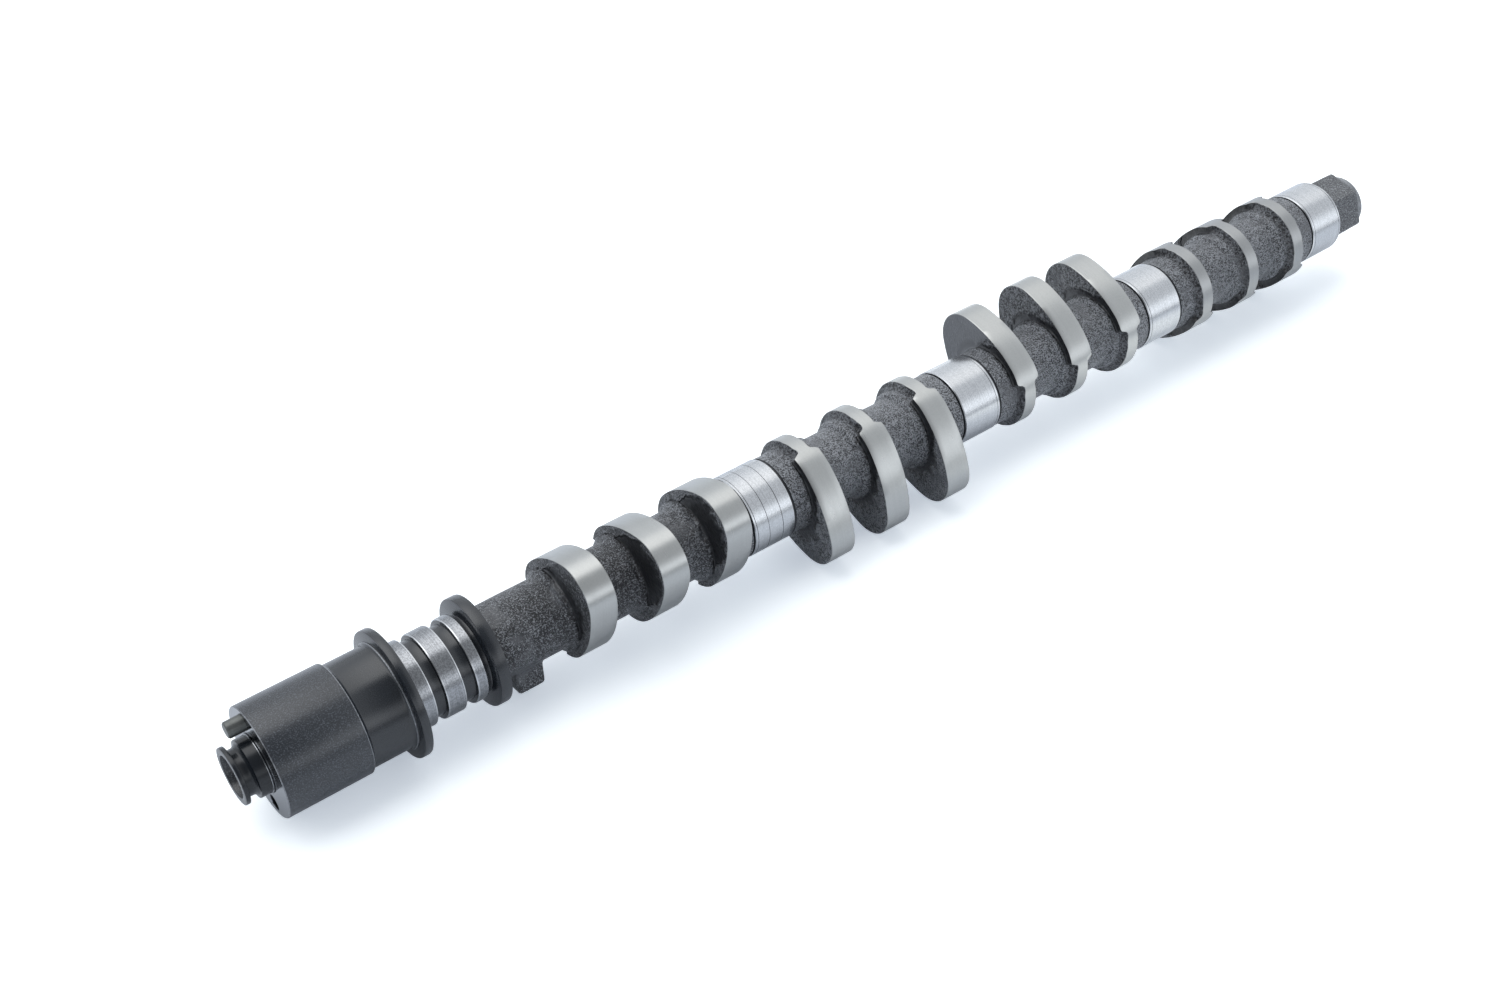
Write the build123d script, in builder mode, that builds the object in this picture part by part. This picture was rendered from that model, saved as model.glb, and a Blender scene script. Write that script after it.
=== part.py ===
"""Camshaft of a four-cylinder engine: one turned and ground casting, and its timing dowel.

The shaft's axis is X. The origin is at the centre of the drum's front face, where the pulley seats,
and +X runs from the nose to the rear. Angles about the shaft are in degrees from +Z, right-handed about +X.
"""

from build123d import *
import math
import os

# Nose: a small flange, a neck and the spigot ring that centres the pulley
nose_flange_radius = 8.75
nose_flange_width = 1.4
nose_neck_radius = 7.1
nose_neck_length = 3.05
nose_neck_flare = 0.8
spigot_radius = 8.85
spigot_length = 3.75

# Bolt hole in the nose, with a tapered mouth and a drilled point
bolt_mouth_radius = 6.5
bolt_mouth_depth = 7.5
bolt_hole_radius = 5.25
bolt_hole_depth = 38.0
drill_point_angle = 118.0

# Drum that the oil seal runs on, tapered down behind the seal land, and the collared thrust flange
drum_radius = 17.2
seal_land_length = 26.0
drum_step = 1.0
drum_step_length = 0.8
drum_length = 39.4
flange_collar_radius = 16.9
flange_collar_width = 0.8
thrust_flange_radius = 20.1
thrust_flange_width = 2.8

# First journal: three lands, two oil grooves and an undercut, then the rear flange
journal_radius = 13.5
front_land_width = 5.4
front_groove_width = 3.4
middle_land_width = 6.0
rear_groove_width = 3.8
rear_land_width = 3.5
groove_depth = 1.5
flange_undercut_width = 1.8
flange_undercut_depth = 1.2
rear_flange_radius = 17.25
rear_flange_width = 3.8

# Cast core, necked behind the rear flange, and the cast lug
core_radius = 11.7
neck_depth = 0.6
neck_length = 2.4
neck_taper_length = 2.0
lug_gap = 5.5
lug_length = 9.6
lug_width = 14.0
lug_reach = 17.9
lug_angle = 172.0
lug_fillet = 1.2

# Cam lobes: a three-arc profile, timed about the shaft
cylinder_pitch = 87.5
first_cylinder_x = 125.25
lobe_spacing = 24.5
lobe_width = 9.5
base_radius = 16.0
lift = 11.0
nose_radius = 10.8
flank_radius = 39.3
cylinder_angles = [36.9, 126.9, -53.1, 216.9]
middle_lobe_advance = 8.75
hub_radius = 13.2
hub_flare_length = 2.0

# Cast recesses beside the ground band, which narrow it round the base circle
recess_width = 2.4
recess_draft_angle = 10.0
recess_start_angle = 114.0

# Plain journals, each midway between two cylinders, with an undercut beside each edge
journal_length = 15.4
journal_undercut_width = 0.8
journal_undercut_depth = 0.8

# Rear stub: a cast hexagon, then a round end disc with a lathe centre
stub_across_flats = 21.3
stub_corner_angle = 11.0
stub_corner_round = 1.2
stub_length = 14.4
stub_edge_break = 0.8
end_disc_radius = 10.1
end_disc_length = 2.9
centre_radius = 3.2
centre_angle = 60.0

# Edge breaks of the ground lands and of the turned front end
land_edge_break = 0.35
turned_edge_break = 0.5

# Timing dowel, and the two dowel holes in the drum's front face
dowel_radius = 2.5
dowel_protrusion = 5.2
dowel_hole_depth = 10.3
dowel_end_gap = 0.3
dowel_clearance = 0.01
dowel_circle_radius = 13.4
dowel_hole_count = 2
dowel_angle = -20.0
dowel_edge_break = 0.4

# Places along the shaft that follow from the sizes above
spigot_front = -spigot_length
neck_front = spigot_front - nose_neck_length
nose_front = neck_front - nose_flange_width
thrust_front = drum_length + flange_collar_width
journal_1_front = thrust_front + thrust_flange_width
front_groove_x = journal_1_front + front_land_width
middle_land_x = front_groove_x + front_groove_width
rear_groove_x = middle_land_x + middle_land_width
rear_land_x = rear_groove_x + rear_groove_width
flange_undercut_x = rear_land_x + rear_land_width
rear_flange_x = flange_undercut_x + flange_undercut_width
core_x = rear_flange_x + rear_flange_width
cylinder_xs = [first_cylinder_x + i * cylinder_pitch for i in range(len(cylinder_angles))]
journal_xs = [x + cylinder_pitch / 2 for x in cylinder_xs]
stub_x = journal_xs[-1] + journal_length / 2
end_disc_x = stub_x + stub_length
rear_end = end_disc_x + end_disc_length


def around(x, radius, angle):
    """The point at x along the shaft, at a radius and an angle about it."""
    turn = math.radians(angle)
    return (x, -radius * math.sin(turn), radius * math.cos(turn))


def across(x, angle=0.0):
    """Plane square to the shaft at x: its own X points out at the angle, and its normal is +X."""
    return Plane(origin=(x, 0, 0), x_dir=around(0, 1, angle), z_dir=(1, 0, 0))


def band(x_start, x_end, radius, edge_break=0.0):
    """Profile points of one turned band, with both its edges broken where a size is given."""
    if edge_break == 0:
        return [(x_start, radius), (x_end, radius)]
    low = radius - edge_break
    return [(x_start, low), (x_start + edge_break, radius), (x_end - edge_break, radius), (x_end, low)]


# Turned front end, from the bolt hole's point out to the nose and back to the cast core
drill_point_length = bolt_hole_radius / math.tan(math.radians(drill_point_angle / 2))
groove_radius = journal_radius - groove_depth
front_points = [
    (nose_front + bolt_hole_depth + drill_point_length, 0),
    (nose_front + bolt_hole_depth, bolt_hole_radius),
    (nose_front + bolt_mouth_depth, bolt_hole_radius),
    (nose_front, bolt_mouth_radius),
    *band(nose_front, neck_front, nose_flange_radius, land_edge_break),
    (neck_front, nose_neck_radius),
    (spigot_front - nose_neck_flare, nose_neck_radius),
    (spigot_front, nose_neck_radius + nose_neck_flare),
    (spigot_front, spigot_radius - land_edge_break),
    (spigot_front + land_edge_break, spigot_radius),
    (0, spigot_radius),
    (0, drum_radius - turned_edge_break),
    (turned_edge_break, drum_radius),
    (seal_land_length, drum_radius),
    *band(seal_land_length + drum_step_length, drum_length, drum_radius - drum_step),
    (drum_length, flange_collar_radius - turned_edge_break),
    (drum_length + turned_edge_break, flange_collar_radius),
    (thrust_front, flange_collar_radius),
    *band(thrust_front, journal_1_front, thrust_flange_radius, turned_edge_break),
    *band(journal_1_front, front_groove_x, journal_radius, land_edge_break),
    *band(front_groove_x, middle_land_x, groove_radius),
    *band(middle_land_x, rear_groove_x, journal_radius, land_edge_break),
    *band(rear_groove_x, rear_land_x, groove_radius),
    *band(rear_land_x, flange_undercut_x, journal_radius, land_edge_break),
    *band(flange_undercut_x, rear_flange_x, journal_radius - flange_undercut_depth),
    *band(rear_flange_x, core_x, rear_flange_radius, turned_edge_break),
    *band(core_x, core_x + neck_length, core_radius - neck_depth),
    (core_x + neck_length + neck_taper_length, core_radius),
]

# Round part of the rear stub, from the last journal to the lathe centre in the end
centre_depth = centre_radius / math.tan(math.radians(centre_angle / 2))
stub_points = [
    (stub_x, end_disc_radius),
    (rear_end - turned_edge_break, end_disc_radius),
    (rear_end, end_disc_radius - turned_edge_break),
    (rear_end, centre_radius),
    (rear_end - centre_depth, 0),
]

# Hubs: the core flares to a hub at each lobe, and keeps that size past the journals between cylinders
half_lobe = lobe_width / 2
flare_start = half_lobe + hub_flare_length
first_lobe_x = cylinder_xs[0] - lobe_spacing


def journal_band(x):
    """Profile points of one plain journal centred at x, with the notched undercut at each side of it."""
    front = x - journal_length / 2
    rear = x + journal_length / 2
    undercut_radius = journal_radius - journal_undercut_depth
    return [
        (front - journal_undercut_width, hub_radius),
        (front, undercut_radius),
        (front + land_edge_break, journal_radius),
        (rear - land_edge_break, journal_radius),
        (rear, undercut_radius),
    ]


core_points = [(first_lobe_x - flare_start, core_radius), (first_lobe_x - half_lobe, hub_radius)]
for cylinder_x, journal_x in zip(cylinder_xs, journal_xs):
    for lobe_x in (cylinder_x - lobe_spacing, cylinder_x):
        next_lobe_x = lobe_x + lobe_spacing
        core_points += [(lobe_x + half_lobe, hub_radius), (lobe_x + flare_start, core_radius)]
        core_points += [(next_lobe_x - flare_start, core_radius), (next_lobe_x - half_lobe, hub_radius)]
    core_points += journal_band(journal_x)
    if journal_x != journal_xs[-1]:
        core_points += [(journal_x + journal_length / 2 + journal_undercut_width, hub_radius)]

# One cam lobe at x = 0 with its nose along +Z, and the recesses cut from its sides
nose_centre = base_radius + lift - nose_radius
flank_reach = flank_radius - base_radius
flank_x = (flank_reach**2 + nose_centre**2 - (flank_radius - nose_radius) ** 2) / (2 * nose_centre)
flank_y = math.sqrt(flank_reach**2 - flank_x**2)
nose_tangent = math.degrees(math.atan2(flank_y, nose_centre - flank_x))
base_tangent = math.degrees(math.atan2(flank_y, -flank_x))
flank_sweep = base_tangent - nose_tangent
recess_draft = math.tan(math.radians(recess_draft_angle))
recess_foot = hub_radius - 0.5
recess_top = base_radius + 1
recess_foot_x = half_lobe - recess_width + (base_radius - recess_foot) * recess_draft
recess_top_x = half_lobe - recess_width + (base_radius - recess_top) * recess_draft
recess_plane = Plane(origin=(0, 0, 0), x_dir=(1, 0, 0), z_dir=around(0, 1, recess_start_angle + 90))

with BuildPart() as lobe:
    with BuildSketch(across(-half_lobe)) as lobe_face:
        with BuildLine() as lobe_outline:
            CenterArc((nose_centre, 0), nose_radius, -nose_tangent, 2 * nose_tangent)
            CenterArc((flank_x, -flank_y), flank_radius, nose_tangent, flank_sweep)
            CenterArc((0, 0), base_radius, base_tangent, 360 - 2 * base_tangent)
            CenterArc((flank_x, flank_y), flank_radius, -base_tangent, flank_sweep)
        make_face()
    extrude(amount=lobe_width)
    for side in (-1, 1):
        with BuildSketch(recess_plane) as recess_face:
            with BuildLine() as recess_outline:
                Polyline(
                    (side * (half_lobe + 1), recess_foot),
                    (side * recess_foot_x, recess_foot),
                    (side * recess_top_x, recess_top),
                    (side * (half_lobe + 1), recess_top),
                    close=True,
                )
            make_face()
        revolve(axis=Axis.X, revolution_arc=360 - 2 * recess_start_angle, mode=Mode.SUBTRACT)

# Cast lug on the core, between the rear flange and the first lobe
with BuildPart() as lug:
    with BuildSketch(across(core_x + lug_gap, lug_angle)) as lug_face:
        Rectangle(lug_reach, lug_width, align=(Align.MIN, Align.CENTER))
    extrude(amount=lug_length)
    lug_top = lug.faces().sort_by(Axis((0, 0, 0), around(0, 1, lug_angle)))[-1]
    fillet(lug_top.edges(), radius=lug_fillet)

# Cast hexagon of the rear stub, with a corner at its own angle and its rear edges broken
with BuildPart() as stub:
    with BuildSketch(across(stub_x, stub_corner_angle)) as stub_face:
        RegularPolygon(stub_across_flats / 2, 6, major_radius=False)
        fillet(stub_face.vertices(), radius=stub_corner_round)
    extrude(amount=stub_length)
    chamfer(stub.faces().sort_by(Axis.X)[-1].edges(), length=stub_edge_break)

# The casting: its turned section, then the lobes, the lug, the hexagon and the dowel holes
with BuildPart() as camshaft:
    with BuildSketch(Plane.XZ) as shaft_face:
        with BuildLine() as shaft_outline:
            Polyline(*front_points, *core_points, *stub_points, close=True)
        make_face()
    revolve(axis=Axis.X)
    for cylinder_x, angle in zip(cylinder_xs, cylinder_angles):
        lobe_turns = (angle, angle + middle_lobe_advance, angle)
        for i, lobe_turn in enumerate(lobe_turns):
            with Locations(Location((cylinder_x + (i - 1) * lobe_spacing, 0, 0), (lobe_turn, 0, 0))):
                add(lobe.part)
    add(lug.part)
    add(stub.part)
    with Locations(Plane(origin=(0, 0, 0), x_dir=(0, 0, 1), z_dir=(-1, 0, 0))):
        with PolarLocations(dowel_circle_radius, dowel_hole_count, start_angle=-dowel_angle):
            Hole(dowel_radius + dowel_clearance, depth=dowel_hole_depth)
camshaft.part.label = "camshaft"

# Timing dowel: a hardened pin pressed into the upper dowel hole
dowel_origin = around(-dowel_protrusion, dowel_circle_radius, dowel_angle)
with BuildPart() as dowel_pin:
    with BuildSketch(Plane(origin=dowel_origin, x_dir=(0, 0, 1), z_dir=(1, 0, 0))) as dowel_face:
        Circle(dowel_radius)
    extrude(amount=dowel_protrusion + dowel_hole_depth - dowel_end_gap)
    chamfer(dowel_pin.faces().filter_by(Axis.X).edges(), length=dowel_edge_break)
dowel_pin.part.label = "dowel_pin"

os.makedirs("parts", exist_ok=True)
export_step(camshaft.part, "parts/camshaft.step")
export_step(dowel_pin.part, "parts/dowel_pin.step")
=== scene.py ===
import math

import bmesh
import bpy
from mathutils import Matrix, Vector, noise


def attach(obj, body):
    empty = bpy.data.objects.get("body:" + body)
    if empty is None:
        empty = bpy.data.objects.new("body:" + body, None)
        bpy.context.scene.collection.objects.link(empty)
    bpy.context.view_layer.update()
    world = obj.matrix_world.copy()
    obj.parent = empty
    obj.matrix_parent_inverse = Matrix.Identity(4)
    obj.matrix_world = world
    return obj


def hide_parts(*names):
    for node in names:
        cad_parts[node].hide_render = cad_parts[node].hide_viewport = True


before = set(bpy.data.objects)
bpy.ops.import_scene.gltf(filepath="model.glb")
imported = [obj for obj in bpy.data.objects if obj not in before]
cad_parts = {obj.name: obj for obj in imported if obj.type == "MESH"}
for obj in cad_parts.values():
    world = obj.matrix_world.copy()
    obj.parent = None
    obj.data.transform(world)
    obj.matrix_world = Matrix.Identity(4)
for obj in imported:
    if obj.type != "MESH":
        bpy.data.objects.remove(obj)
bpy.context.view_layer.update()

MM = 0.001

# Turned front end: the bored nose, the pulley seat, the seal drum, the thrust flange and the grooved
# first journal. It is one iron casting with the rest of the shaft, turned in a lathe, blackened, and
# ground bright again on the three lands of the first journal.

# Points round each ring of the skin, steps of each rounded corner, and the largest corner of blackened
# iron that gets the pale edge finish, a painted highlight
TURNS = 144
ARC_STEPS = 2
edge_highlight_up_to = 0.35


def smooth(value, low, high):
    """0 below low, 1 above high, and an S-curve between them."""
    t = min(max((value - low) / (high - low), 0.0), 1.0)
    return t * t * (3 - 2 * t)


def mix(a, b, t):
    return a + (b - a) * t


def turned(corners):
    """Rings of a turned profile: each corner is x, radius, how far it is rounded and the finish after it.

    Outer corners of blackened iron get the pale edge finish: a painted highlight where they catch the
    light.
    """
    rings = []
    for i, (x, r, size, finish) in enumerate(corners):
        if size == 0:
            rings.append((x, r, finish))
            continue
        here = Vector((x, r))
        before = (Vector(corners[i - 1][:2]) - here).normalized() * size
        after = (Vector(corners[i + 1][:2]) - here).normalized() * size
        outer = r >= max(corners[i - 1][1], corners[i + 1][1])
        edge_highlighted = outer and size <= edge_highlight_up_to and finish == "black"
        for step in range(ARC_STEPS + 1):
            t = step / ARC_STEPS
            point = here + before * (1 - t) ** 2 + after * t ** 2
            rings.append((point.x, point.y, "edge" if edge_highlighted and step < ARC_STEPS else finish))
    return rings


class Value:
    """A shader output that sums can be written with."""

    def __init__(self, owner, socket):
        self.owner = owner
        self.socket = socket

    def math(self, operation, *numbers):
        return self.owner.node("ShaderNodeMath", {"operation": operation}, dict(enumerate(numbers)))

    def __add__(self, other):
        return self.math("ADD", self, other)

    def __radd__(self, other):
        return self.math("ADD", other, self)

    def __sub__(self, other):
        return self.math("SUBTRACT", self, other)

    def __rsub__(self, other):
        return self.math("SUBTRACT", other, self)

    def __mul__(self, other):
        return self.math("MULTIPLY", self, other)

    def __rmul__(self, other):
        return self.math("MULTIPLY", other, self)

    def __abs__(self):
        return self.math("ABSOLUTE", self)

    def step(self, low, high):
        """0 below low, 1 above high, and an S-curve between them."""
        return self.owner.node("ShaderNodeMapRange", {"interpolation_type": "SMOOTHSTEP"},
                               {"Value": self, "From Min": low, "From Max": high})


class Finish:
    """A material and the nodes that it is written with."""

    def __init__(self, name, metallic=0.0, roughness=0.5, world=None):
        self.material = world or bpy.data.materials.new(name)
        self.material.use_nodes = True
        self.tree = self.material.node_tree
        self.tree.nodes.clear()
        self.output = self.tree.nodes.new("ShaderNodeOutputWorld" if world else "ShaderNodeOutputMaterial")
        self.place = self.node("ShaderNodeTexCoord", {}, {}, out="Generated" if world else "Object")
        if not world:
            self.surface = self.tree.nodes.new("ShaderNodeBsdfPrincipled")
            self.surface.inputs["Metallic"].default_value = metallic
            self.surface.inputs["Roughness"].default_value = roughness
            self.tree.links.new(self.surface.outputs[0], self.output.inputs["Surface"])

    def node(self, kind, settings, sockets, out=0):
        """Add a node with its settings and what its sockets hold, and give back one of its outputs."""
        made = self.tree.nodes.new(kind)
        for name, value in settings.items():
            setattr(made, name, value)
        for name, value in sockets.items():
            socket = made.inputs[name] if isinstance(name, int) else self.input_of(made, name)
            if isinstance(value, Value):
                self.tree.links.new(value.socket, socket)
            else:
                socket.default_value = value
        if isinstance(out, str):
            return Value(self, [o for o in made.outputs if out in (o.name, o.identifier)][0])
        return Value(self, made.outputs[out])

    def input_of(self, made, name):
        return [i for i in made.inputs if name in (i.name, i.identifier)][0]

    def split(self, axis):
        """One coordinate of the place on the piece, in metres, or of a direction."""
        return self.node("ShaderNodeSeparateXYZ", {}, {0: self.place}, out=axis)

    def stretched(self, x, y, z):
        """The place on the piece, drawn out so that a pattern runs round or along the shaft."""
        return self.node("ShaderNodeVectorMath", {"operation": "MULTIPLY"}, {0: self.place, 1: (x, y, z)})

    def noise(self, scale, detail=2.0, place=None, roughness=0.55):
        return self.node("ShaderNodeTexNoise", {}, {
            "Vector": place or self.place, "Scale": scale, "Detail": detail, "Roughness": roughness})

    def feed(self, name, value):
        self.tree.links.new(value.socket, self.surface.inputs[name])

    def colour(self, amount, dark, light):
        """Base colour between two colours."""
        mixed = self.node("ShaderNodeMix", {"data_type": "RGBA"}, {
            0: amount, "A_Color": (*dark, 1), "B_Color": (*light, 1)}, out="Result_Color")
        self.feed("Base Color", mixed)

    def bump(self, height, distance, strength=1.0):
        self.feed("Normal", self.node("ShaderNodeBump", {}, {
            "Height": height, "Distance": distance, "Strength": strength}))


# The finishes of the casting, by name
finishes = {}


def black_oxide(name, roughness, light, speckle=0.0, specular=0.6):
    """Blackened turned iron: near black and satin, with pale specks painted into its colour as glints,
    over a fine grain in its bump.
    """
    finish = Finish(name, roughness=roughness)
    finish.surface.inputs["Specular IOR Level"].default_value = specular
    grit = finish.noise(2700, detail=2.0)
    cloud = finish.noise(60, detail=3.0)
    lines = finish.noise(1.0, detail=3.0, place=finish.stretched(2600, 60, 60), roughness=0.7)
    finish.colour(grit.step(0.46, 0.74) * speckle + 0.1, (0.0105, 0.0132, 0.0172), light)
    finish.feed("Roughness", roughness + 0.04 * (cloud - 0.5))
    finish.bump(grit * (0.15 + 2.2 * speckle) + lines * 0.35, 0.00002)
    finishes[name] = finish.material


black_oxide("drum", 0.25, (0.088, 0.098, 0.116), speckle=0.7)
black_oxide("black", 0.21, (0.03, 0.034, 0.041), speckle=0.3)
black_oxide("nose", 0.24, (0.02, 0.023, 0.028), specular=0.42)
black_oxide("bore", 0.3, (0.13, 0.138, 0.15), speckle=0.8)
black_oxide("deep", 0.7, (0.01, 0.011, 0.012), specular=0.1)


def bare_iron(name, dark, light, roughness, line_depth, grit_depth=0.0, metallic=1.0):
    """Bright iron with fine lines round the shaft, as turning and grinding leave them."""
    finish = Finish(name, metallic=metallic, roughness=roughness)
    lines = finish.noise(1.0, detail=3.0, place=finish.stretched(3600, 26, 26), roughness=0.7)
    patches = finish.noise(1.0, detail=2.0, place=finish.stretched(420, 90, 90))
    grit = finish.noise(1900, detail=1.0)
    finish.colour((0.5 * lines + 0.5 * grit).step(0.36, 0.64), dark, light)
    finish.feed("Roughness", roughness + 0.08 * (patches - 0.5))
    finish.bump(lines * line_depth + grit * grit_depth, 0.00002)
    finishes[name] = finish.material


bare_iron("land", (0.21, 0.217, 0.228), (0.345, 0.354, 0.37), 0.24, 0.5, grit_depth=0.45)
# The edge finish on blackened outer corners and the drum's front rim is pale: a painted highlight where
# they catch the light.
bare_iron("edge", (0.10, 0.107, 0.118), (0.26, 0.27, 0.29), 0.3, 0.3, metallic=0.6)
bare_iron("face", (0.13, 0.139, 0.153), (0.21, 0.222, 0.243), 0.16, 0.2)


nose_front = -8.2
neck_front = -6.8
spigot_front = -3.75
mouth_end = -0.7
thread_end = 24.0
hole_end = 29.8
thread_pitch = 1.25
thread_depth = 0.5
drill_point = 3.15
hole_radius = 5.25
mouth_radius = 6.5
nose_radius = 8.75
neck_radius = 7.1
spigot_radius = 8.85
spigot_foot_radius = 9.2
drum_radius = 17.2
rear_drum_radius = 16.2
flange_collar_radius = 16.9
thrust_flange_radius = 20.1
rear_flange_radius = 17.25
journal_radius = 13.5
groove_radius = 12.0
undercut_radius = 12.3
land_front_radius = 13.1
core_neck_radius = 11.1
core_radius = 11.7

# Corners of the turned profile: x, radius, how far the corner is rounded, and the finish after it
bore_corners = [
    (hole_end, hole_radius, 0, "bore"),
    (thread_end, hole_radius, 0, "bore"),
]
mouth_corners = [
    (mouth_end, hole_radius + thread_depth, 0, "bore"),
    (mouth_end - 0.4, 5.85, 0, "bore"),
    (nose_front, mouth_radius, 0.22, "nose"),
    (nose_front, nose_radius, 0.3, "nose"),
    (neck_front, nose_radius, 0.3, "nose"),
    (neck_front, neck_radius, 0.3, "nose"),
    (spigot_front - 0.9, neck_radius, 0.4, "nose"),
    (spigot_front, 8.0, 0.15, "nose"),
    (spigot_front, spigot_radius, 0.3, "nose"),
    (-0.5, spigot_radius, 0.05, "nose"),
    (-0.5, spigot_foot_radius, 0.2, "land"),
    (-0.15, spigot_foot_radius, 0.05, "nose"),
    (0.0, 9.1, 0, "face"),
]
front_face_radius = 17.0
land_edge = 0.4


def land(front, rear):
    """Corners of a ground land, whose edges get the brighter journal finish: a painted highlight along
    them.
    """
    return [
        (front, journal_radius, 0.3, "journal"),
        (front + land_edge, journal_radius, 0, "land"),
        (rear - land_edge, journal_radius, 0, "journal"),
        (rear, journal_radius, 0.3, "journal"),
        (rear, journal_radius - land_edge, 0, "black"),
    ]


drum_corners = [
    (0.22, drum_radius, 0.1, "drum"),
    (26.0, drum_radius, 0.2, "black"),
    (26.8, rear_drum_radius, 0.2, "black"),
    (39.2, rear_drum_radius, 0.5, "black"),
    (39.75, flange_collar_radius, 0.2, "black"),
    (40.2, flange_collar_radius, 0.2, "black"),
    (40.2, thrust_flange_radius, 0.5, "black"),
    (43.0, thrust_flange_radius, 0.5, "black"),
    (43.0, land_front_radius, 0.0, "black"),
    (43.3, land_front_radius, 0.0, "black"),
    *land(43.5, 48.4),
    (48.4, groove_radius, 0.3, "black"),
    (51.8, groove_radius, 0.3, "black"),
    *land(51.8, 57.8),
    (57.8, groove_radius, 0.3, "black"),
    (61.6, groove_radius, 0.3, "black"),
    *land(61.6, 65.1),
    (65.1, undercut_radius, 0.3, "black"),
    (66.9, undercut_radius, 0.4, "black"),
    (66.9, rear_flange_radius, 0.5, "black"),
    (70.7, rear_flange_radius, 0.5, "black"),
    (70.7, core_neck_radius, 0.5, "cast"),
    (73.1, core_neck_radius, 0.5, "cast"),
    (75.1, core_radius, 0, "cast"),
]


class Casting:
    """The shaft's skin: rings of points round the axis, one after another from the bore to the rear."""

    def __init__(self):
        self.points = []
        self.faces = []
        self.finishes = []
        self.hollows = []
        self.last = None
        self.finish = None

    def ring(self, places, finish, hollows=None):
        """Add a ring of (x, radius) places, joined to the ring before it, and name the finish after it.

        The hollows say how smooth and dark the cast skin is at each place, from 0 to 1.
        """
        first = len(self.points)
        self.hollows += hollows or [0.0] * TURNS
        for i, (x, r) in enumerate(places):
            turn = math.tau * i / TURNS
            self.points.append((x * MM, -r * math.sin(turn) * MM, r * math.cos(turn) * MM))
        if self.last is not None:
            for i in range(TURNS):
                j = (i + 1) % TURNS
                self.faces.append((self.last + i, self.last + j, first + j, first + i))
                self.finishes.append(self.finish)
        self.last = first
        self.finish = finish

    def round_ring(self, x, r, finish):
        self.ring([(x, r)] * TURNS, finish)

    def tip(self, x, finish):
        """Close the skin with a point on the axis, before the first ring or after the last one."""
        self.points.append((x * MM, 0.0, 0.0))
        self.hollows.append(0.0)
        middle = len(self.points) - 1
        for i in range(TURNS):
            j = (i + 1) % TURNS
            if self.last is None:
                self.faces.append((middle, middle + 1 + j, middle + 1 + i))
            else:
                self.faces.append((self.last + i, self.last + j, middle))
            self.finishes.append(finish)


casting = Casting()
casting.tip(hole_end + drill_point, "bore")
for x, r, finish in turned(bore_corners):
    casting.round_ring(x, r, finish)

# The bolt's thread, one ridge and one root a turn
for k in range(int((thread_end - mouth_end) / thread_pitch)):
    crest = thread_end - thread_pitch * (k + 0.15)
    casting.round_ring(crest, hole_radius, "bore")
    casting.round_ring(crest - thread_pitch / 2, hole_radius + thread_depth, "bore")
for x, r, finish in turned(mouth_corners):
    casting.round_ring(x, r, finish)
face_inner_ring = casting.last
casting.last = None
# The drum's front rim gets the pale edge finish, a painted highlight.
casting.round_ring(0.0, front_face_radius, "edge")
face_outer_ring = casting.last
for x, r, finish in turned(drum_corners):
    casting.round_ring(x, r, finish)

# Cast core and lug: the core keeps the skin that the sand left on it. The lug is a block on its underside,
# in one piece with it, with the draft and the soft corners of a sand casting.
noise_radius = 14.0
skin_scale = 7.0
skin_depth = 0.12
core_front = 75.6
core_rear = 89.0
lug_front = 76.2
lug_rear = 85.8
lug_half_width = 7.0
lug_reach = 17.9
lug_angle = 172.0
lug_sharpness = 60
lug_foot_sharpness = 16

# One end of the lug: how far each ring is inside the lug's end, and its share of the lug's height
lug_end = ((-0.2, 0.0), (-0.05, 0.06), (0.1, 0.4), (0.22, 0.8), (0.55, 0.93), (1.2, 0.99), (3.0, 1.0))


def cast_shift(x, turn, scale, depth):
    """Slow unevenness of a cast skin, in mm."""
    place = Vector((x, noise_radius * math.sin(turn), noise_radius * math.cos(turn))) / scale
    return depth * noise.noise(place)


def core_places(x):
    """A ring round the cast core, with its slow unevenness."""
    places = []
    for i in range(TURNS):
        turn = math.tau * i / TURNS
        places.append((x, core_radius + cast_shift(x, turn, skin_scale, skin_depth)))
    return places


def lug_places(x, height):
    """A ring round the core and the lug, where the lug has a share of its full height."""
    places = []
    for i in range(TURNS):
        turn = math.tau * i / TURNS
        away = turn - math.radians(lug_angle)
        ahead = math.cos(away)
        aside = abs(math.sin(away))
        block = 0.0
        if ahead > 0.05:
            flat = lug_reach / ahead
            side = lug_half_width / max(aside, 0.001)
            block = (flat ** -lug_sharpness + side ** -lug_sharpness) ** (-1 / lug_sharpness)
        base = core_radius + cast_shift(x, turn, skin_scale, skin_depth)
        full = (block ** lug_foot_sharpness + base ** lug_foot_sharpness) ** (1 / lug_foot_sharpness)
        places.append((x, mix(base, full, height)))
    return places


sand_cast = Finish("cast", roughness=0.36)
sand_cast.surface.inputs["Specular IOR Level"].default_value = 0.6
hollow = sand_cast.node("ShaderNodeAttribute", {"attribute_name": "hollow"}, {}, out="Fac")

# The grain is coarse where the skin is dull and fine elsewhere, with glints. Behind the first cylinder
# the skin is blasted a little paler.
dull = hollow.step(0.15, 0.4)
grain = sand_cast.noise(2050, detail=3.0, roughness=0.7) * (1 - dull)
grain = grain + sand_cast.noise(1250, detail=3.0, roughness=0.6) * dull
clumps = sand_cast.noise(480, detail=2.0)
blasted = sand_cast.split("X").step(0.1, 0.19)
specks = (grain * 0.85 + clumps * 0.15 + blasted * 0.06).step(0.49, 0.64)
glints = sand_cast.noise(2600, detail=1.0).step(0.62, 0.7)

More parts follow.
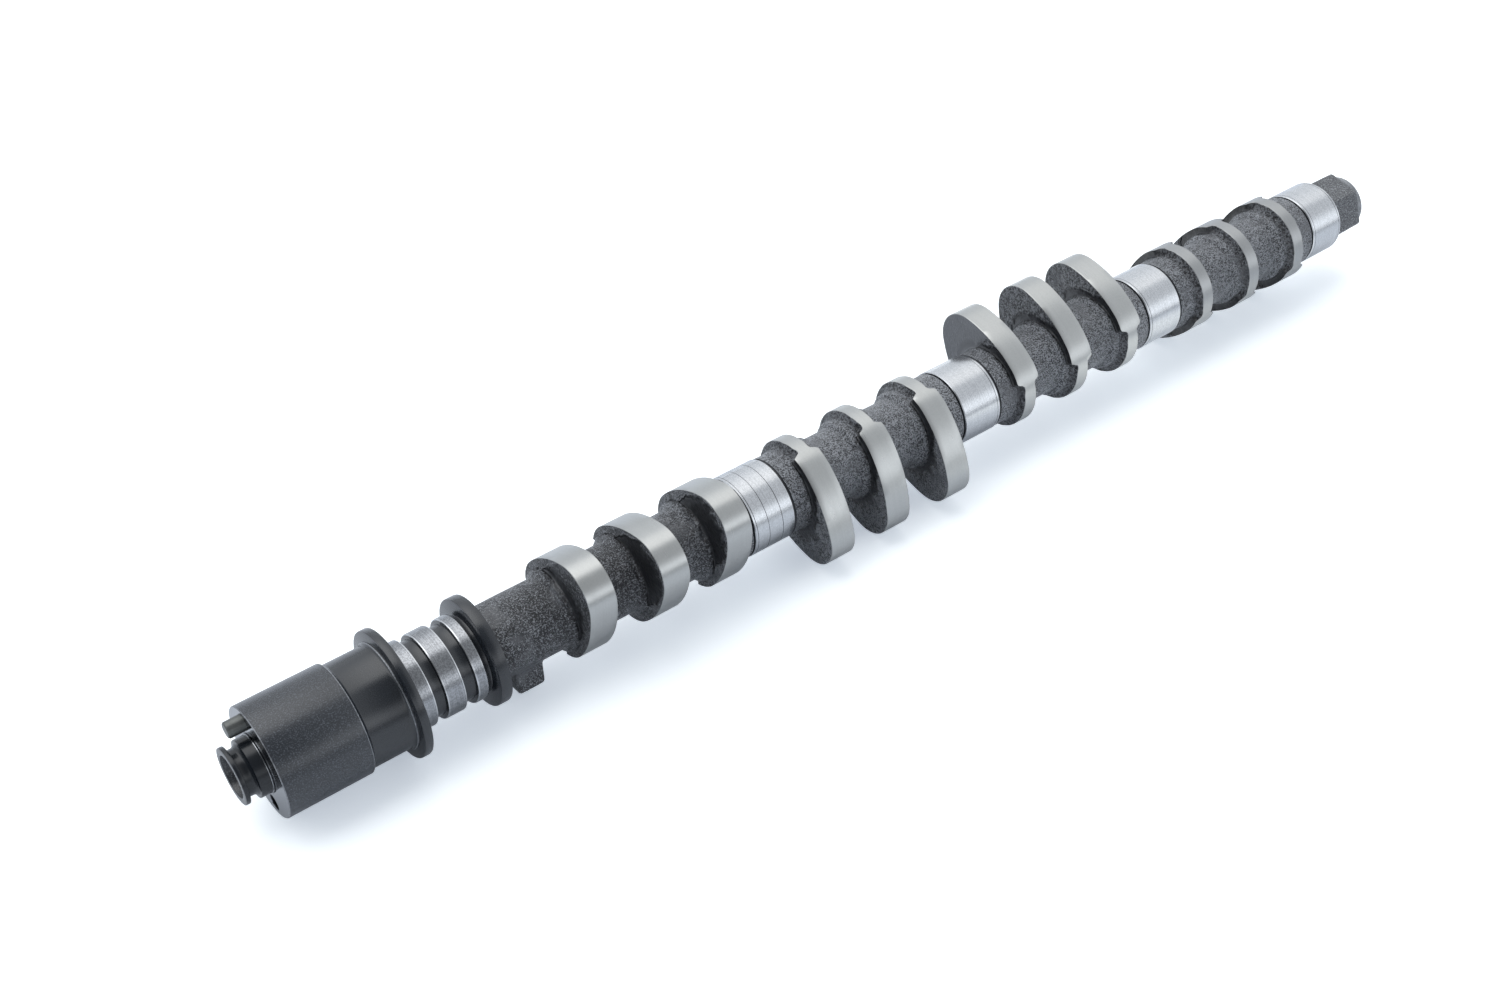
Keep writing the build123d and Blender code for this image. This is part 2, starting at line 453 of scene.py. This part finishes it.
# Even patches: where the skin is worn, and where the front of the seventh lobe was milled flat. The cut
# ends at a straight line across that lobe.
milled_x = 0.2711
cut_slope = 1.515
cut_start = 0.022
worn = 0.7 * sand_cast.noise(85, detail=3.0).step(0.52, 0.66)
milled_face = 1 - abs(sand_cast.split("X") - milled_x).step(0.0005, 0.0007)
past_cut = (sand_cast.split("Z") + cut_slope * sand_cast.split("Y")).step(cut_start, cut_start + 0.0002)
milled = milled_face * past_cut
even = 1 - (1 - worn) * (1 - milled)
rough = 1 - even
# Where the hollows attribute is high the skin is painted darker and loses its painted glints: partly
# painted shade in the recesses and beside the hubs.
pale = specks * rough * (1 - 0.95 * hollow) + 0.3 * even * (1 - 0.8 * hollow) + 0.15 * milled
pale = pale + glints * rough * (1 - hollow.step(0.5, 0.9))
sand_cast.colour(pale, (0.0055, 0.006, 0.0078), (0.29, 0.303, 0.328))
relief = (1 - 0.85 * hollow.step(0.5, 0.95)) * (1 - 0.85 * even) * (1 + dull)
sand_cast.bump((grain * 0.8 + clumps * 0.9) * relief, 0.0006)
finishes["cast"] = sand_cast.material

casting.ring(core_places(core_front), "cast")
for inside, height in lug_end:
    casting.ring(lug_places(lug_front + inside, height), "cast")
for inside, height in reversed(lug_end):
    casting.ring(lug_places(lug_rear - inside, height), "cast")

# Cam lobes and plain journals: the lobes are cast with rough sides, and their rims are then ground. A
# recess in each side makes the rim narrower round the base circle. The journals lie midway between two
# cylinders, are ground bright, and have a turned undercut beside each edge.
cylinder_pitch = 87.5
first_cylinder_x = 125.25
lobe_spacing = 24.5
base_radius = 16.0
lift = 11.0
tip_radius = 10.8
flank_radius = 39.3
cylinder_angles = (36.9, 126.9, -53.1, 216.9)
middle_lobe_advance = 8.75
recess_starts = (129.0, 114.5, 114.5, 114.5)
recess_blend = 2.6
hub_radius = 13.2

# The lobe's outline: the centre of its tip's arc, the centre of a flank's arc, and where the arcs meet
tip_centre = base_radius + lift - tip_radius
flank_reach = flank_radius - base_radius
flank_x = (flank_reach ** 2 + tip_centre ** 2 - (flank_radius - tip_radius) ** 2) / (2 * tip_centre)
flank_y = math.sqrt(flank_reach ** 2 - flank_x ** 2)
base_tangent = math.atan2(flank_y, -flank_x)
tip_tangent = math.atan2(flank_y, tip_centre - flank_x)
tip_end = math.atan2(tip_radius * math.sin(tip_tangent), tip_centre + tip_radius * math.cos(tip_tangent))


def lobe_rim(away):
    """Radius of the ground rim at an angle away from the lobe's nose."""
    if away <= tip_end:
        across = tip_centre * math.sin(away)
        return tip_centre * math.cos(away) + math.sqrt(tip_radius ** 2 - across ** 2)
    if away <= base_tangent:
        along = flank_x * math.cos(away) - flank_y * math.sin(away)
        return along + math.sqrt(along ** 2 - flank_reach ** 2 + flank_radius ** 2)
    return base_radius


# One side of a lobe, from the core over the hub's collar to the middle of its rim: how far each ring is
# from the lobe's middle and its radius, first in the recess, then on the flanks and nose. Past the
# collar, the last number is the share of the way from the lobe's foot to its rim.
lobe_foot = 13.5
collar_rings = 6
rim_edge = 13
lobe_side = [
    (7.6, 11.72, 7.6, 11.72),
    (7.15, 11.95, 7.15, 11.95),
    (6.8, 12.45, 6.82, 12.45),
    (6.5, 12.95, 6.55, 12.98),
    (6.1, 13.25, 6.25, 13.32),
    (5.5, 13.38, 5.8, 13.45),
    (4.8, 13.42, 5.25, 0.0),
    (4.1, 13.45, 4.8, 0.05),
    (3.5, 13.6, 4.6, 0.14),
    (3.15, 13.9, 4.54, 0.3),
    (2.9, 14.4, 4.56, 0.58),
    (2.74, 15.0, 4.66, 0.84),
    (2.6, 15.6, 4.70, 0.95),
    (2.5, 15.88, 4.70, 0.985),
    (2.38, 16.0, 4.56, 1.0),
    (0.9, 16.0, 2.4, 1.0),
]

# How dark and smooth the lobes' sides are, for each cylinder: the share of the side that is dark
# and smooth in line with the nose, the same on the flanks, and the angle between the two. The dark is
# partly the skin's own and partly painted shade in the recess and in the pocket beside the hub; the
# smoothness is the skin's own. The sides are everywhere at least as dull as their cylinder's dullness,
# and on the first lobe the dark fades towards the rim.
dark_shares = ((0.92, 0.1, 46.0), (0.36, 1.1, 56.0), (0.3, 1.1, 58.0), (0.36, 1.1, 56.0))
side_dullness = (0.0, 0.1, 0.5, 0.4)
recess_dullness = 0.6
first_lobe_share = 0.55
turning_blend = 14.0
dark_fade_inside = 0.16
dark_fade_outside = 0.06
dark_wander = 0.14

# The cast skin's unevenness on a lobe: how far a recess's end wanders, in degrees, how deep and how wide
# the bite is that the cast leaves past it, and how far the skin moves on the collar, the side and the rim
recess_wander = 2.2
bite_depth = 0.5
bite_place = 6.0
bite_width = 5.0
collar_wander = 0.55
side_wander = 0.3
side_sink = 0.16
rim_ripple = 0.16


def hollow_at(cylinder, away, share, width, wander, strength):
    """How smooth and dark a lobe's side is, at an angle away from its nose and a share of its height."""
    near, far, turning = dark_shares[cylinder]
    limit = mix(near, far, smooth(away, turning - turning_blend, turning + turning_blend)) + wander
    dark = strength * (1 - smooth(share, limit - dark_fade_inside, limit + dark_fade_outside))
    dark = max(dark, side_dullness[cylinder])
    return smooth(share, -0.06, 0.06) * mix(recess_dullness, dark, width)


def skin_offset(step, uneven, width, seed, y, z):
    """How far the cast skin moves a place on a lobe's side away from the lobe's middle."""
    if step < collar_rings:
        return collar_wander * uneven * min(1.0, step / 3)
    if step < rim_edge:
        near_collar = max(0.0, 1 - (step - 5) / 3)
        near_rim = min(1.0, (step - collar_rings) / 3)
        return side_wander * uneven * near_collar - side_sink * abs(uneven) * near_rim
    if step < rim_edge + 2:
        return rim_ripple * (1 - width) * noise.noise(Vector((seed * 9.7, y, z)) * 0.55)
    return 0.0


def lobe_places(centre, angle, cylinder, side, step, seed, hub):
    """One ring of a lobe's side, and its hollows; side is -1 in front of the lobe and 1 behind it."""
    recess_s, recess_r, full_s, full_r = lobe_side[step]
    on_collar = step < collar_rings
    on_first_lobe = seed < 1
    start = recess_starts[cylinder] + recess_wander * noise.noise(Vector((seed, side * 3.1, 0.0)))
    places = []
    hollows = []
    for i in range(TURNS):
        turn = math.tau * i / TURNS
        away = abs((turn - math.radians(angle) + math.pi) % math.tau - math.pi)
        width = 1 - smooth(math.degrees(away), start - recess_blend, start + recess_blend)
        bite = 0.0
        if side < 0 and step > collar_rings:
            past_end = (math.degrees(away) - start - bite_place) / bite_width
            bite = bite_depth * math.exp(-past_end ** 2) * min(1.0, (step - collar_rings) / 5)
        s = mix(recess_s - bite, full_s, width)
        r = mix(recess_r, full_r if on_collar else mix(lobe_foot, lobe_rim(away), full_r), width)
        if on_collar:
            r = max(r, hub) + cast_shift(centre + side * s, turn, skin_scale, skin_depth)
        y = r * math.sin(turn)
        z = r * math.cos(turn)
        uneven = cast_shift(centre + side * 9, turn, 5.0, 1.0)
        s += skin_offset(step, uneven, width, seed, y, z)
        places.append((centre + side * s, r))
        share = (r - lobe_foot) / (lobe_rim(away) - lobe_foot)
        wander = dark_wander * noise.noise(Vector((seed, y, z)) * 0.4)
        strength = mix(1.0, first_lobe_share, smooth(share, 0.1, 0.45)) if on_first_lobe else 1.0
        hollows.append(hollow_at(cylinder, math.degrees(away), share, width, wander, strength))
    return places, hollows


def lobe(centre, angle, cylinder, seed, front_hub=0.0, rear_hub=0.0):
    """One lobe; where a journal is beside it, the hub keeps its radius as far as the journal."""
    # The rear cylinder's lobes get a darker copy of the lobe finish: painted shade.
    ground = "lobe" if cylinder < 3 else "shaded_lobe"
    for step in range(len(lobe_side)):
        places, hollows = lobe_places(centre, angle, cylinder, -1, step, seed, front_hub)
        casting.ring(places, ground if step >= rim_edge else "cast", hollows)
    for step in reversed(range(len(lobe_side))):
        places, hollows = lobe_places(centre, angle, cylinder, 1, step, seed + 0.5, rear_hub)
        casting.ring(places, ground if step > rim_edge else "cast", hollows)


journal_length = 15.4
journal_bevel = 0.25
notch_width = 0.55
notch_mouth = 0.8
notch_radius = 12.75
notch_slope = 0.15
score_width = 0.1
score_depth = 0.08


def journal(x, collared_behind, scores):
    """A plain journal, with the notch that the grinding wheel runs out into at each side of it."""
    half = journal_length / 2
    bevelled = journal_radius - journal_bevel
    profile = [
        (-half - notch_mouth, bevelled, "cast"),
        (-half - notch_width, notch_radius + notch_slope, "notch"),
        (-half, notch_radius, "notch"),
        (-half, bevelled, "journal"),
        (-half + journal_bevel, journal_radius, "journal"),
    ]
    for score in scores:
        profile.append((score - score_width, journal_radius, "score"))
        profile.append((score, journal_radius - score_depth, "score"))
        profile.append((score + score_width, journal_radius, "journal"))
    profile.append((half - journal_bevel, journal_radius, "journal"))
    profile.append((half, bevelled, "notch"))
    profile.append((half, notch_radius, "notch"))
    if collared_behind:
        profile.append((half + notch_width, notch_radius + notch_slope, "notch"))
        profile.append((half + notch_mouth, bevelled, "cast"))
    for along, r, finish in profile:
        casting.round_ring(x + along, r, finish)


bare_iron("journal", (0.46, 0.471, 0.486), (0.555, 0.566, 0.582), 0.23, 0.5, grit_depth=0.5)
bare_iron("lobe", (0.40, 0.406, 0.398), (0.43, 0.435, 0.426), 0.29, 0.02)
# A darker, rougher copy of the lobe finish for the rear cylinder; its darker colour is painted shade.
bare_iron("shaded_lobe", (0.32, 0.325, 0.326), (0.345, 0.35, 0.35), 0.33, 0.02)
bare_iron("score", (0.10, 0.105, 0.11), (0.16, 0.165, 0.17), 0.35, 0.3)
black_oxide("notch", 0.45, (0.03, 0.032, 0.036))


def core_between(front, rear):
    """Three rings of bare core between two lobes."""
    for share in (0.36, 0.5, 0.64):
        casting.ring(core_places(mix(front, rear, share)), "cast")


# Where the bearings' edges have worn fine lines into each journal, from its middle
journal_scores = ((-6.7, -2.3, 3.0), (6.6,), (-6.8,), (-6.6, 6.7))
casting.ring(core_places(core_rear), "cast")
for i, angle in enumerate(cylinder_angles):
    middle_x = first_cylinder_x + i * cylinder_pitch
    front_x = middle_x - lobe_spacing
    rear_x = middle_x + lobe_spacing
    lobe(front_x, angle, i, 3.0 * i, front_hub=hub_radius if i else 0.0)
    core_between(front_x, middle_x)
    lobe(middle_x, angle + middle_lobe_advance, i, 3.0 * i + 1)
    core_between(middle_x, rear_x)
    lobe(rear_x, angle, i, 3.0 * i + 2, rear_hub=hub_radius)
    journal(middle_x + cylinder_pitch / 2, collared_behind=i < 3, scores=journal_scores[i])

# Rear stub: a hexagon of the same casting, left as the sand made it, with soft corners. Behind it is a
# smoother round end with the lathe centre that the shaft was turned on.
stub_neck_x = 439.25
stub_neck_radius = 11.9
stub_apothem = 10.85
stub_corner_radius = 12.5
stub_corner_angle = 38.0
stub_sharpness = 90
stub_rings = [
    (439.6, 1.0),
    (442.0, 1.0),
    (445.0, 1.0),
    (448.0, 1.0),
    (451.0, 1.0),
    (452.6, 0.995),
    (453.2, 0.975),
    (453.5, 0.945),
]
end_rings = [
    (453.7, 10.05, "end_disc"),
    (455.6, 10.1, "end_disc"),
    (456.2, 9.85, "end_disc"),
    (456.45, 9.3, "end_disc"),
    (456.48, 3.4, "centre"),
    (456.3, 3.1, "centre"),
]
centre_point = 451.0


def hexagon_places(x, share):
    """A ring round the hexagon; a smaller share of it rounds the hexagon's end."""
    places = []
    for i in range(TURNS):
        turn = math.tau * i / TURNS
        from_flat = (math.degrees(turn) - stub_corner_angle) % 60 - 30
        flat = stub_apothem / math.cos(math.radians(from_flat))
        r = (flat ** -stub_sharpness + stub_corner_radius ** -stub_sharpness) ** (-1 / stub_sharpness)
        places.append((x, r * share + cast_shift(x, turn, 4.0, 0.14)))
    return places


rough_stub = Finish("stub", roughness=0.5)
stub_grain = rough_stub.noise(2000, detail=3.0, roughness=0.65)
rough_stub.colour(stub_grain.step(0.42, 0.68), (0.055, 0.058, 0.064), (0.25, 0.26, 0.275))
rough_stub.bump(stub_grain, 0.0003, 0.8)
finishes["stub"] = rough_stub.material
end_disc = Finish("end_disc", roughness=0.42)
disc_grain = end_disc.noise(700, detail=2.0)
end_disc.colour(disc_grain.step(0.35, 0.7), (0.16, 0.168, 0.18), (0.26, 0.27, 0.285))
end_disc.bump(disc_grain, 0.00015, 0.7)
finishes["end_disc"] = end_disc.material
black_oxide("centre", 0.35, (0.06, 0.064, 0.07), speckle=0.3)

casting.round_ring(stub_neck_x, stub_neck_radius, "notch")
for x, share in stub_rings:
    casting.ring(hexagon_places(x, share), "stub")
for x, r, finish in end_rings:
    casting.round_ring(x, r, finish)
casting.tip(centre_point, "centre")

# The skin joined to one mesh: the drum's front face is filled round the two dowel holes, and every
# strip between two rings gets its finish: the one that the tool, the grinder or the sand left on it, with
# painted highlight on the pale edges and painted shade on the rear cylinder's lobe rims.
dowel_circle = 13.4
dowel_radius = 2.5
dowel_hole_depth = 10.3
dowel_angle = -20.0
hole_clearance = 0.01
hole_break = 0.15
sharp_angle = math.radians(32)
HOLE_STEPS = 48


def hole_ring(mesh, x, radius, angle):
    """Ring of points round a dowel hole's axis."""
    turn = math.radians(angle)
    ring = []
    for i in range(HOLE_STEPS):
        around = math.tau * i / HOLE_STEPS
        y = -dowel_circle * math.sin(turn) + radius * math.sin(around)
        z = dowel_circle * math.cos(turn) + radius * math.cos(around)
        ring.append(mesh.verts.new((x * MM, y * MM, z * MM)))
    return ring


def loop_edges(mesh, ring):
    """The edges between neighbours of a closed ring of points, made where there are none."""
    edges = []
    for a, b in zip(ring, ring[1:] + ring[:1]):
        edges.append(mesh.edges.get((a, b)) or mesh.edges.new((a, b)))
    return edges


body = bpy.data.meshes.new("camshaft_casting")
body.from_pydata(casting.points, [], casting.faces)
finish_names = list(finishes)
skin = bmesh.new()
skin.from_mesh(body)
skin.faces.ensure_lookup_table()
skin.verts.ensure_lookup_table()
for face, finish in zip(skin.faces, casting.finishes):
    face.material_index = finish_names.index(finish)
hollow_layer = skin.verts.layers.float.new("hollow")
for vertex, amount in zip(skin.verts, casting.hollows):
    vertex[hollow_layer] = amount
edges = []
for first in (face_inner_ring, face_outer_ring):
    edges += loop_edges(skin, [skin.verts[first + i] for i in range(TURNS)])
for angle in (dowel_angle, dowel_angle + 180):
    wall_radius = dowel_radius + hole_clearance
    mouth = hole_ring(skin, 0.0, wall_radius + hole_break, angle)
    wall = hole_ring(skin, hole_break, wall_radius, angle)
    floor_ring = hole_ring(skin, dowel_hole_depth, wall_radius, angle)
    edges += loop_edges(skin, mouth)
    for outer, inner, finish in ((mouth, wall, "face"), (wall, floor_ring, "deep")):
        for i in range(HOLE_STEPS):
            j = (i + 1) % HOLE_STEPS
            face = skin.faces.new((outer[i], outer[j], inner[j], inner[i]))
            face.material_index = finish_names.index(finish)
    skin.faces.new(floor_ring).material_index = finish_names.index("deep")
filled = bmesh.ops.triangle_fill(skin, use_beauty=True, use_dissolve=False, edges=edges, normal=(-1, 0, 0))
for face in filled["geom"]:
    if isinstance(face, bmesh.types.BMFace):
        face.material_index = finish_names.index("face")
bmesh.ops.recalc_face_normals(skin, faces=skin.faces)
skin.to_mesh(body)
skin.free()
body.shade_smooth()
body.set_sharp_from_angle(angle=sharp_angle)
camshaft = bpy.data.objects.new("camshaft_casting", body)
bpy.context.scene.collection.objects.link(camshaft)
for name in finish_names:
    body.materials.append(finishes[name])
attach(camshaft, "root")
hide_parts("camshaft")

# Timing dowel: a hardened steel pin, oil-blackened, pressed into the upper dowel hole. It was cut with
# both its ends chamfered.
pin_front = -5.2
pin_rear = 10.0
pin_turns = 64
pin_chamfer = 0.42
pin_end_radius = 2.05
pin_flat_radius = 1.8
pin_corners = [
    (pin_front, 1.0, 0, "dowel"),
    (pin_front, pin_end_radius, 0.12, "dowel"),
    (pin_front + pin_chamfer, dowel_radius, 0.15, "dowel"),
    (pin_rear - pin_chamfer, dowel_radius, 0.15, "dowel"),
    (pin_rear, pin_end_radius, 0.12, "dowel"),
    (pin_rear, 1.0, 0, "dowel"),
]


def dowel_mesh():
    """The pin's skin, turned about its own axis and set into its hole."""
    mesh = bmesh.new()
    turn = math.radians(dowel_angle)
    profile = [(pin_front, pin_flat_radius, "dowel"), *turned(pin_corners)[1:-1]]
    last = None
    for x, r, _ in profile:
        ring = []
        for i in range(pin_turns):
            around = math.tau * i / pin_turns
            y = -dowel_circle * math.sin(turn) - r * math.sin(around)
            z = dowel_circle * math.cos(turn) + r * math.cos(around)
            ring.append(mesh.verts.new((x * MM, y * MM, z * MM)))
        if last:
            for i in range(pin_turns):
                j = (i + 1) % pin_turns
                mesh.faces.new((last[i], last[j], ring[j], ring[i]))
        else:
            mesh.faces.new(ring)
        last = ring
    mesh.faces.new(last)
    bmesh.ops.recalc_face_normals(mesh, faces=mesh.faces)
    pin = bpy.data.meshes.new("timing_dowel")
    mesh.to_mesh(pin)
    mesh.free()
    pin.shade_smooth()
    pin.set_sharp_from_angle(angle=sharp_angle)
    return pin


dowel = bpy.data.objects.new("timing_dowel", dowel_mesh())
bpy.context.scene.collection.objects.link(dowel)
dowel_steel = Finish("dowel_steel", metallic=0.6, roughness=0.38)
mottle = dowel_steel.noise(900, detail=3.0)
dowel_steel.colour(mottle, (0.08, 0.085, 0.082), (0.15, 0.156, 0.15))
dowel_steel.bump(mottle, 0.00004)
dowel.data.materials.append(dowel_steel.material)
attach(dowel, "root")
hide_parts("dowel_pin")

# Studio: a white table that keeps the shaft's soft bluish shadow, and daylight-white softboxes. The
# brightest is overhead behind the shaft, a lower one is in front, and between them it is dark.
table_height = -19.635
table_rise = (-0.01216, 0.02221)
table_size = 4000.0
table_middle_x = 220.0

table_mesh = bpy.data.meshes.new("table")
corners = []
for x, y in ((-1, -1), (1, -1), (1, 1), (-1, 1)):
    corner_x = table_middle_x + x * table_size
    corner_y = y * table_size
    corner_z = table_height + table_rise[0] * corner_x + table_rise[1] * corner_y
    corners.append((corner_x * MM, corner_y * MM, corner_z * MM))
table_mesh.from_pydata(corners, [], [(0, 1, 2, 3)])
table = bpy.data.objects.new("table", table_mesh)
bpy.context.scene.collection.objects.link(table)
table_white = Finish("table_white", metallic=0.0, roughness=0.9)
# The table is painted darker far in front of the shaft: painted shade seen in reflections and bounced
# light, while the camera sees it white.
front_shade = (0 - table_white.split("Y")).step(0.14, 0.5)
table_white.colour(front_shade, (0.82, 0.86, 0.92), (0.36, 0.38, 0.41))
table_white.surface.inputs["Specular IOR Level"].default_value = 0.0
table_rays = table_white.tree.nodes.new("ShaderNodeLightPath")
by_camera = Value(table_white, table_rays.outputs["Is Camera Ray"])
in_metal = Value(table_white, table_rays.outputs["Is Glossy Ray"])
paper = table_white.node("ShaderNodeBsdfDiffuse", {}, {"Color": (0.98, 0.98, 0.94, 1)})
shadow_blue = (0.335, 0.375, 0.435, 1)
shadow_light = table_white.node("ShaderNodeEmission", {}, {"Color": shadow_blue, "Strength": 1.0})
lit_paper = table_white.node("ShaderNodeAddShader", {}, {0: paper, 1: shadow_light})
# In the metal's reflections a band of the table round 0.37 m along the shaft glows like the lit paper: a
# painted reflection that brightens the third cylinder's lobe rims.
bright_part = table_white.split("X").step(0.26, 0.37) * (1 - table_white.split("X").step(0.37, 0.47))
pick = table_white.node("ShaderNodeMixShader", {}, {
    "Fac": by_camera + in_metal * (1 - front_shade) * bright_part,
    1: Value(table_white, table_white.surface.outputs[0]),
    2: lit_paper,
})
table_white.tree.links.new(pick.socket, table_white.output.inputs["Surface"])
table_mesh.materials.append(table_white.material)

world = bpy.data.worlds.new("studio")
bpy.context.scene.world = world
sky = Finish("studio", world=world)
x = sky.split("X")
y = sky.split("Y")
z = sky.split("Z")
behind = y.step(-0.15, 0.1)
high = z.step(0.3, 0.92)
overhead_box = behind * (0.8 + 1.6 * high)
low_front = (1 - z.step(0.25, 0.6)) * (0 - y).step(0.25, 0.7) * (0.35 + 0.65 * z.step(0.0, 0.14))
front_box = low_front * (1.0 + 2.2 * x.step(0.15, 0.5))
haze = 0.75 * x.step(0.12, 0.5)
dim = (1 - z.step(0.0, 0.17)) * (1 - x.step(0.42, 0.6))
below = 1 - z.step(-0.02, 0.0)
level = (0.2 + overhead_box + front_box) * (1 - haze) + 1.15 * haze
level = level * (1 - 0.5 * dim)
level = level * (1 - below) + 0.45 * below
tint = sky.node("ShaderNodeMix", {"data_type": "RGBA"}, {
    0: high * behind,
    "A_Color": (0.93, 0.975, 1.03, 1),
    "B_Color": (0.97, 0.985, 1.0, 1),
}, out="Result_Color")
glow = sky.node("ShaderNodeBackground", {}, {"Color": tint, "Strength": level})
white = sky.node("ShaderNodeBackground", {}, {"Color": (1, 1, 1, 1), "Strength": 1.0})
sky_rays = sky.tree.nodes.new("ShaderNodeLightPath")
backdrop = sky.node("ShaderNodeMixShader", {}, {
    "Fac": Value(sky, sky_rays.outputs["Is Camera Ray"]),
    1: glow,
    2: white,
})
sky.tree.links.new(backdrop.socket, sky.output.inputs["Surface"])

# Camera: looks down on the drive end, from the side that the lobes of the first cylinder face
eye = bpy.data.objects.new("camera", bpy.data.cameras.new("camera"))
bpy.context.scene.collection.objects.link(eye)
eye.location = Vector((-92.385, -339.383, 390.077)) * MM
eye.rotation_euler = (math.radians(47.936), 0.0, math.radians(-37.625))
eye.data.lens = 44.22
eye.data.sensor_width = 36.0
eye.data.clip_start = 0.01
bpy.context.scene.camera = eye
bpy.context.scene.view_settings.view_transform = "Standard"
